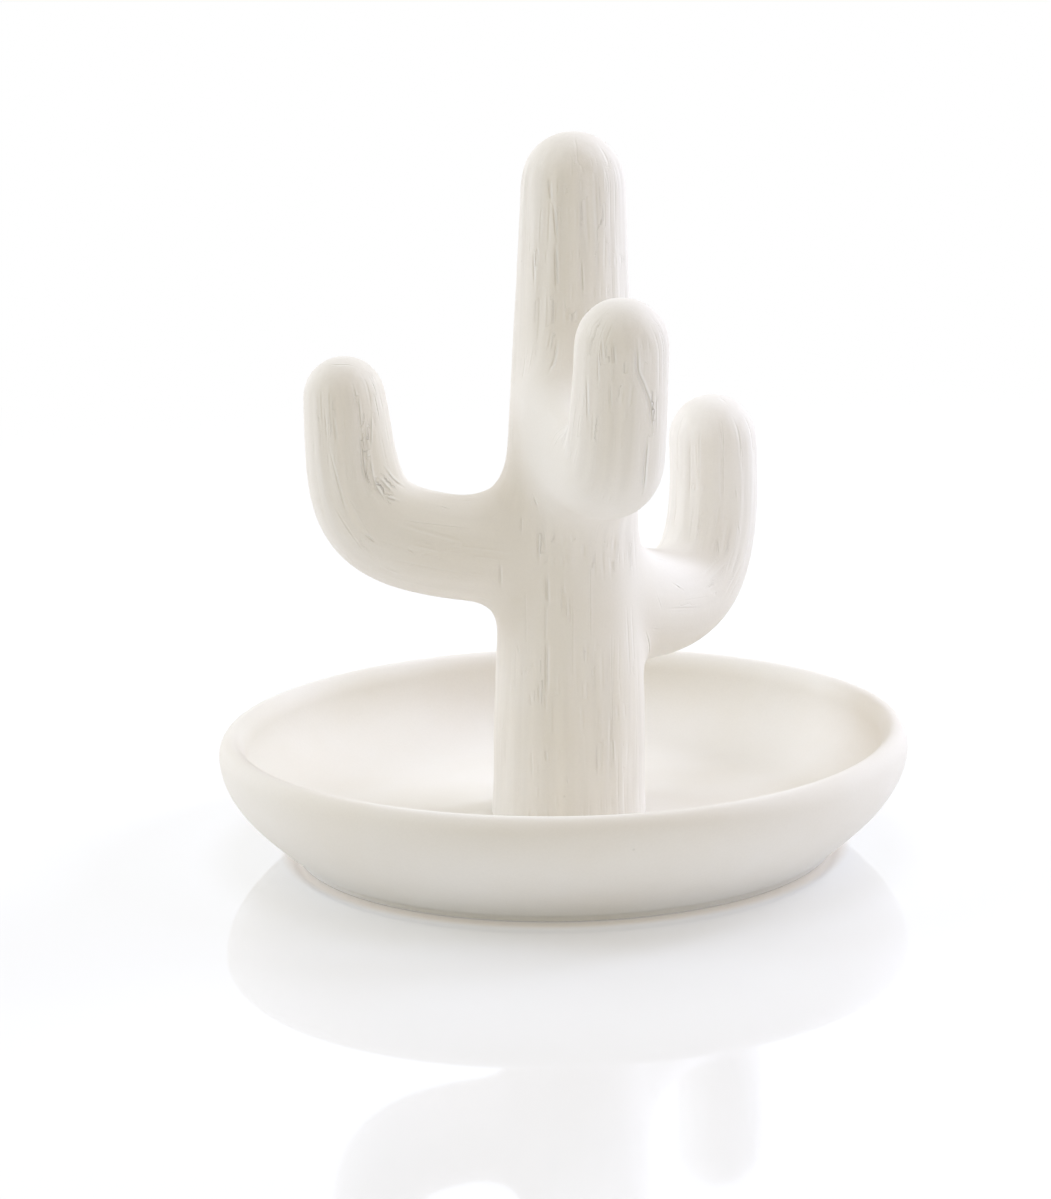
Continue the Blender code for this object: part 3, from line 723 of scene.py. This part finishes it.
def comb_tree():
    """Comb passes laid along the limbs, as each place's distance across the nearest pass."""
    tree = bpy.data.node_groups.new("comb_marks", "GeometryNodeTree")
    tree.is_modifier = True
    tree.interface.new_socket("Skin", in_out="INPUT", socket_type="NodeSocketGeometry")
    tree.interface.new_socket("Drawn Marks", in_out="INPUT", socket_type="NodeSocketObject")
    tree.interface.new_socket("Clay", in_out="INPUT", socket_type="NodeSocketMaterial")
    tree.interface.new_socket("Seed", in_out="INPUT", socket_type="NodeSocketInt")
    for name, _ in comb_sizes[1:]:
        tree.interface.new_socket(name, in_out="INPUT", socket_type="NodeSocketFloat")
    tree.interface.new_socket("Skin", in_out="OUTPUT", socket_type="NodeSocketGeometry")
    link = tree.links.new
    taken = tree.nodes.new("NodeGroupInput").outputs
    given = tree.nodes.new("NodeGroupOutput").inputs

    def reckon(operation, *values):
        return math_node(tree, operation, *values)

    def read(name, kind):
        node = add(tree, "GeometryNodeInputNamedAttribute", data_type=kind)
        node.inputs["Name"].default_value = name
        return node.outputs["Attribute"]

    def store(geometry, name, kind, value):
        node = add(tree, "GeometryNodeStoreNamedAttribute", data_type=kind, domain="POINT")
        node.inputs["Name"].default_value = name
        link(geometry, node.inputs["Geometry"])
        link(value, node.inputs["Value"])
        return node.outputs["Geometry"]

    def random(low, high, offset):
        node = add(tree, "FunctionNodeRandomValue", data_type="FLOAT")
        for socket, value in ((node.inputs[2], low), (node.inputs[3], high)):
            if isinstance(value, float):
                socket.default_value = value
            else:
                link(value, socket)
        link(reckon("ADD", taken["Seed"], float(offset)), node.inputs["Seed"])
        return node.outputs[1]

    def vector(operation, first, second=None, scale=None):
        node = add(tree, "ShaderNodeVectorMath", operation=operation)
        link(first, node.inputs[0])
        if second is not None:
            link(second, node.inputs[1])
        if scale is not None:
            link(scale, node.inputs["Scale"])
        return node.outputs["Value" if operation in ("DOT_PRODUCT", "LENGTH") else "Vector"]

    def combine(x, y, z):
        node = tree.nodes.new("ShaderNodeCombineXYZ")
        for socket, value in zip(node.inputs, (x, y, z)):
            if isinstance(value, float):
                socket.default_value = value
            else:
                link(value, socket)
        return node.outputs[0]

    # Broad flutes left by the slip brush
    place = tree.nodes.new("ShaderNodeSeparateXYZ")
    link(read("limb_place", "FLOAT_VECTOR"), place.inputs[0])
    grid = reckon("DIVIDE", 1.0, taken["Flute Width"])
    flat = [reckon("MULTIPLY", place.outputs[axis], grid) for axis in (0, 1)]
    tall = reckon("MULTIPLY", reckon("MULTIPLY", place.outputs[2], grid), flute_stretch)
    wave = add(tree, "ShaderNodeTexNoise", Scale=1.0, Detail=1.0, Roughness=0.4)
    link(combine(flat[0], flat[1], tall), wave.inputs["Vector"])
    lift = reckon("MULTIPLY", reckon("SUBTRACT", wave.outputs[0], flute_level), taken["Flute Depth"])
    lift = reckon("MULTIPLY", lift, read("combed", "FLOAT"))
    lift = reckon("MINIMUM", reckon("MULTIPLY", lift, flute_gain), 0.0)
    fluted = tree.nodes.new("GeometryNodeSetPosition")
    link(taken["Skin"], fluted.inputs["Geometry"])
    normal = tree.nodes.new("GeometryNodeInputNormal").outputs[0]
    link(vector("SCALE", normal, scale=lift), fluted.inputs["Offset"])
    skin = fluted.outputs[0]

    # The passes: a straight stroke on each scattered point, turned the way the limb runs
    scatter = add(tree, "GeometryNodeDistributePointsOnFaces", distribute_method="POISSON")
    link(skin, scatter.inputs["Mesh"])
    link(taken["Pass Spacing"], scatter.inputs["Distance Min"])
    square = reckon("MULTIPLY", taken["Pass Spacing"], taken["Pass Spacing"])
    link(reckon("DIVIDE", scatter_tries, square), scatter.inputs["Density Max"])
    link(read("combed", "FLOAT"), scatter.inputs["Density Factor"])
    link(taken["Seed"], scatter.inputs["Seed"])
    teeth = reckon("ROUND", random(fewest_teeth, taken["Most Teeth"], 1))
    seeds = store(scatter.outputs["Points"], "teeth", "FLOAT", teeth)
    seeds = store(seeds, "force", "FLOAT", random(taken["Weakest Force"], 1.0, 2))
    sway = reckon("MULTIPLY", taken["Sway"], -1.0)
    drift = combine(*(random(sway, taken["Sway"], offset) for offset in (3, 4, 5)))
    turned = add(tree, "FunctionNodeAlignRotationToVector", axis="X")
    link(vector("ADD", read("limb_way", "FLOAT_VECTOR"), drift), turned.inputs["Vector"])
    line = tree.nodes.new("GeometryNodeCurvePrimitiveLine")
    line.inputs["Start"].default_value = (-0.5, 0.0, 0.0)
    line.inputs["End"].default_value = (0.5, 0.0, 0.0)
    laid = tree.nodes.new("GeometryNodeInstanceOnPoints")
    link(seeds, laid.inputs["Points"])
    link(line.outputs[0], laid.inputs["Instance"])
    link(turned.outputs[0], laid.inputs["Rotation"])
    toss = random(0.0, 1.0, 6)
    spread = reckon("SUBTRACT", taken["Longest Pass"], taken["Shortest Pass"])
    length = reckon("MULTIPLY_ADD", reckon("POWER", toss, 2.0), spread, taken["Shortest Pass"])
    link(combine(length, 1.0, 1.0), laid.inputs["Scale"])
    real = tree.nodes.new("GeometryNodeRealizeInstances")
    link(laid.outputs[0], real.inputs[0])
    fine = tree.nodes.new("GeometryNodeResampleCurve")
    link(real.outputs[0], fine.inputs["Curve"])
    fine.inputs["Count"].default_value = pass_points

    # The drawn marks, from the listed strokes
    drawn = add(tree, "GeometryNodeObjectInfo", transform_space="ORIGINAL")
    link(taken["Drawn Marks"], drawn.inputs["Object"])
    strokes = tree.nodes.new("GeometryNodeMeshToCurve")
    link(drawn.outputs["Geometry"], strokes.inputs[0])
    flowing = add(tree, "GeometryNodeCurveSplineType", spline_type="CATMULL_ROM")
    link(strokes.outputs[0], flowing.inputs[0])
    even = add(tree, "GeometryNodeResampleCurve", mode="LENGTH")
    link(flowing.outputs[0], even.inputs["Curve"])
    even.inputs["Length"].default_value = mark_step
    place = tree.nodes.new("GeometryNodeInputPosition").outputs[0]

    def lay(strokes, prefix, skin):
        """Lay strokes on the skin, and tell each place of the skin how far across the nearest it is."""
        close = add(tree, "GeometryNodeProximity", target_element="FACES")
        link(skin, close.inputs[0])
        snapped = tree.nodes.new("GeometryNodeSetPosition")
        link(strokes, snapped.inputs["Geometry"])
        link(close.outputs["Position"], snapped.inputs["Position"])
        part = tree.nodes.new("GeometryNodeSplineParameter").outputs["Factor"]
        tangent = tree.nodes.new("GeometryNodeInputTangent").outputs[0]
        passes = store(store(snapped.outputs[0], "part", "FLOAT", part), "run", "FLOAT_VECTOR", tangent)
        row = add(tree, "GeometryNodeCurveToPoints", mode="EVALUATED")
        link(passes, row.inputs[0])
        dots = row.outputs["Points"]
        nearest = add(tree, "GeometryNodeSampleNearest", domain="POINT")
        link(dots, nearest.inputs["Geometry"])

        def ask(value, kind):
            node = add(tree, "GeometryNodeSampleIndex", data_type=kind, domain="POINT")
            link(dots, node.inputs["Geometry"])
            link(value, node.inputs["Value"])
            link(nearest.outputs[0], node.inputs["Index"])
            return node.outputs[0]

        offset = vector("SUBTRACT", place, ask(place, "FLOAT_VECTOR"))
        run = ask(read("run", "FLOAT_VECTOR"), "FLOAT_VECTOR")
        side = vector("NORMALIZE", vector("CROSS_PRODUCT", normal, run))
        past = reckon("ABSOLUTE", vector("DOT_PRODUCT", offset, run))
        teeth = ask(read("teeth", "FLOAT"), "FLOAT")
        part = ask(read("part", "FLOAT"), "FLOAT")
        force = ask(read("force", "FLOAT"), "FLOAT")
        pitch = reckon("MULTIPLY_ADD", force, pitch_spread, pitch_least)
        pitch = reckon("MULTIPLY", pitch, taken["Tooth Pitch"])
        steps = reckon("DIVIDE", vector("DOT_PRODUCT", offset, side), pitch)
        half = reckon("MULTIPLY", reckon("SUBTRACT", teeth, 1.0), 0.5)
        phase = reckon("ADD", steps, half)
        edge = reckon("SUBTRACT", reckon("MULTIPLY", teeth, 0.5), reckon("ABSOLUTE", steps))
        within = ramp(tree, edge, edge_start, edge_end, 0.0, 1.0)
        near_end = reckon("MINIMUM", part, reckon("SUBTRACT", 1.0, part))
        weight = reckon("MULTIPLY", within, ramp(tree, near_end, 0.0, end_fade, end_force, 1.0))
        weight = reckon("MULTIPLY", weight, ramp(tree, past, past_start, past_end, 1.0, 0.0))
        weight = reckon("MULTIPLY", weight, force)
        skin = store(skin, prefix + "_phase", "FLOAT", phase)
        return store(skin, prefix + "_force", "FLOAT", weight), weight

    marked, weight = lay(fine.outputs[0], "comb", skin)
    marked, _ = lay(even.outputs[0], "mark", marked)
    pressed = tree.nodes.new("GeometryNodeSetPosition")
    link(marked, pressed.inputs["Geometry"])
    sunk = reckon("MULTIPLY", weight, reckon("MULTIPLY", taken["Trough Depth"], -1.0))
    link(vector("SCALE", normal, scale=sunk), pressed.inputs["Offset"])
    whole = tree.nodes.new("GeometryNodeRealizeInstances")
    link(pressed.outputs[0], whole.inputs["Geometry"])
    dressed = tree.nodes.new("GeometryNodeSetMaterial")
    link(whole.outputs[0], dressed.inputs["Geometry"])
    link(taken["Clay"], dressed.inputs["Material"])
    link(dressed.outputs[0], given[0])
    return tree


def vertex_places(mesh):
    """Where each vertex of a mesh is, one row for each."""
    places = np.empty(len(mesh.vertices) * 3)
    mesh.vertices.foreach_get("co", places)
    return places.reshape(-1, 3)


material, tree, place, clay = clay_material("combed_bisque")
grooves, lips = [], []
for prefix, depth in (("comb", comb_depth), ("mark", mark_depth)):
    phase = add(tree, "ShaderNodeAttribute", attribute_name=prefix + "_phase").outputs["Fac"]
    force = add(tree, "ShaderNodeAttribute", attribute_name=prefix + "_force").outputs["Fac"]
    for kept, turn in ((grooves, 0.0), (lips, -lip_turn)):
        wave = math_node(tree, "COSINE", math_node(tree, "MULTIPLY_ADD", phase, math.tau, turn))
        wave = math_node(tree, "POWER", math_node(tree, "MAXIMUM", wave, 0.0), groove_sharpness)
        kept.append(math_node(tree, "MULTIPLY", math_node(tree, "MULTIPLY", wave, force), depth))
groove = math_node(tree, "MAXIMUM", grooves[0], grooves[1])
lip = math_node(tree, "MAXIMUM", lips[0], lips[1])
combed = add(tree, "ShaderNodeAttribute", attribute_name="combed").outputs["Fac"]
local = add(tree, "ShaderNodeAttribute", attribute_name="limb_place").outputs["Vector"]
stretched = add(tree, "ShaderNodeMapping", vector_type="POINT")
stretched.inputs["Scale"].default_value = (1.0, 1.0, streak_stretch)
tree.links.new(local, stretched.inputs["Vector"])
streak = add(tree, "ShaderNodeTexNoise", Scale=streak_scale, Detail=3.0, Roughness=0.6)
tree.links.new(stretched.outputs[0], streak.inputs["Vector"])
patch = add(tree, "ShaderNodeTexNoise", Scale=patch_scale, Detail=1.0)
tree.links.new(place, patch.inputs["Vector"])
streaks = math_node(tree, "MULTIPLY", math_node(tree, "SUBTRACT", streak.outputs[0], 0.5), combed)
patches = ramp(tree, patch.outputs[0], patch_low, patch_high, patch_least, 1.0)
streaks = math_node(tree, "MULTIPLY", streaks, patches)
height = math_node(tree, "MULTIPLY_ADD", streaks, streak_depth, clay.outputs["Height"])
height = math_node(tree, "SUBTRACT", height, groove)
height = math_node(tree, "MULTIPLY_ADD", lip, lip_rise, height)
# On the lips the colour is lightened as a painted highlight
lip_highlighted = add(tree, "ShaderNodeMix", data_type="RGBA", B=lip_highlight_tone)
tree.links.new(math_node(tree, "MULTIPLY", lip, lip_highlight_share, clamp=True), lip_highlighted.inputs["Factor"])
tree.links.new(clay.outputs["Color"], lip_highlighted.inputs["A"])
# Inside the grooves the colour is darkened as painted shade
toned = add(tree, "ShaderNodeMix", data_type="RGBA", B=groove_shade_tone)
tree.links.new(math_node(tree, "MULTIPLY", groove, groove_shade, clamp=True), toned.inputs["Factor"])
tree.links.new(lip_highlighted.outputs["Result"], toned.inputs["A"])
band = add(tree, "ShaderNodeTexNoise", Scale=band_scale, Detail=1.0)
tree.links.new(stretched.outputs[0], band.inputs["Vector"])
shade = math_node(tree, "MULTIPLY", math_node(tree, "SUBTRACT", band.outputs[0], 0.5), combed)
banded = add(tree, "ShaderNodeVectorMath", operation="SCALE")
tree.links.new(toned.outputs["Result"], banded.inputs[0])
tree.links.new(math_node(tree, "MULTIPLY_ADD", shade, band_tone, 1.0), banded.inputs["Scale"])
finish_clay(tree, clay, banded.outputs[0], height)

# Rough tubes, joined into one skin that is drawn onto the smooth whole
limbs = [trunk_limb()]
fillets = []
for (_, *sizes, fillet), flatness in zip(arm_sizes, flat_sides[1:]):
    limbs.append(arm_limb(*sizes, flatness))
    fillets.append(fillet)
form = bmesh.new()
for limb in limbs:
    tube(form, limb)
bmesh.ops.recalc_face_normals(form, faces=form.faces)
rough_mesh = bpy.data.meshes.new("rough_cactus")
form.to_mesh(rough_mesh)
form.free()
rough = put("rough_cactus", rough_mesh)
remesh = rough.modifiers.new("one_skin", "REMESH")
remesh.mode = "VOXEL"
remesh.voxel_size = skin_cell
skin_mesh = bpy.data.meshes.new_from_object(rough.evaluated_get(bpy.context.evaluated_depsgraph_get()))
bpy.data.objects.remove(rough)
places = vertex_places(skin_mesh)
for _ in range(skin_draws):
    distance, out = blended(places, limbs, fillets)
    places -= distance[:, None] * out
pairs = np.empty(len(skin_mesh.edges) * 2, dtype=np.int32)
skin_mesh.edges.foreach_get("vertices", pairs)
places = settle(places, pairs.reshape(-1, 2), finger_rounds)
skin_mesh.vertices.foreach_set("co", places.ravel())

# The foot, cut level and closed
form = bmesh.new()
form.from_mesh(skin_mesh)
whole_form = form.verts[:] + form.edges[:] + form.faces[:]
cut = bmesh.ops.bisect_plane(form, geom=whole_form, dist=1e-7, plane_co=(0, 0, floor_height - foot_sink),
                             plane_no=(0, 0, 1), clear_inner=True)
rim_edges = [item for item in cut["geom_cut"] if isinstance(item, bmesh.types.BMEdge)]
bmesh.ops.holes_fill(form, edges=rim_edges)
form.to_mesh(skin_mesh)
form.free()

# What the comb needs to know of each place, and the drawn marks as strokes of points
way, local, combed = grain_of(vertex_places(skin_mesh), limbs)
for name, kind, field, values in (("limb_way", "FLOAT_VECTOR", "vector", way),
                                  ("limb_place", "FLOAT_VECTOR", "vector", local),
                                  ("combed", "FLOAT", "value", combed)):
    skin_mesh.attributes.new(name, kind, "POINT").data.foreach_set(field, values.astype(np.float32).ravel())
skin = put("cactus_skin", skin_mesh)
marks_mesh = bpy.data.meshes.new("drawn_marks")
points, edges, forces = [], [], []
for force, stroke in drawn_marks:
    edges += [(len(points) + index, len(points) + index + 1) for index in range(len(stroke) - 1)]
    points += [[value / 1000 for value in point] for point in stroke]
    forces += [force] * len(stroke)
marks_mesh.from_pydata(points, edges, [])
marks_mesh.attributes.new("force", "FLOAT", "POINT").data.foreach_set("value", forces)
marks_mesh.attributes.new("teeth", "FLOAT", "POINT").data.foreach_set("value", [1.0] * len(forces))
marks = put("drawn_marks", marks_mesh)

# The skin, combed
comb = skin.modifiers.new("comb_marks", "NODES")
comb.node_group = comb_tree()
identifiers = {item.name: item.identifier for item in comb.node_group.interface.items_tree
               if item.in_out == "INPUT"}
for name, value in comb_sizes:
    comb[identifiers[name]] = value
comb[identifiers["Drawn Marks"]] = marks
comb[identifiers["Clay"]] = material
cactus_mesh = bpy.data.meshes.new_from_object(skin.evaluated_get(bpy.context.evaluated_depsgraph_get()))
bpy.data.objects.remove(skin)
bpy.data.objects.remove(marks)
cactus_mesh.shade_smooth()
cactus = put("cactus_skin", cactus_mesh)
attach(cactus, "root")
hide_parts("trunk", "left_arm", "right_arm", "front_arm")
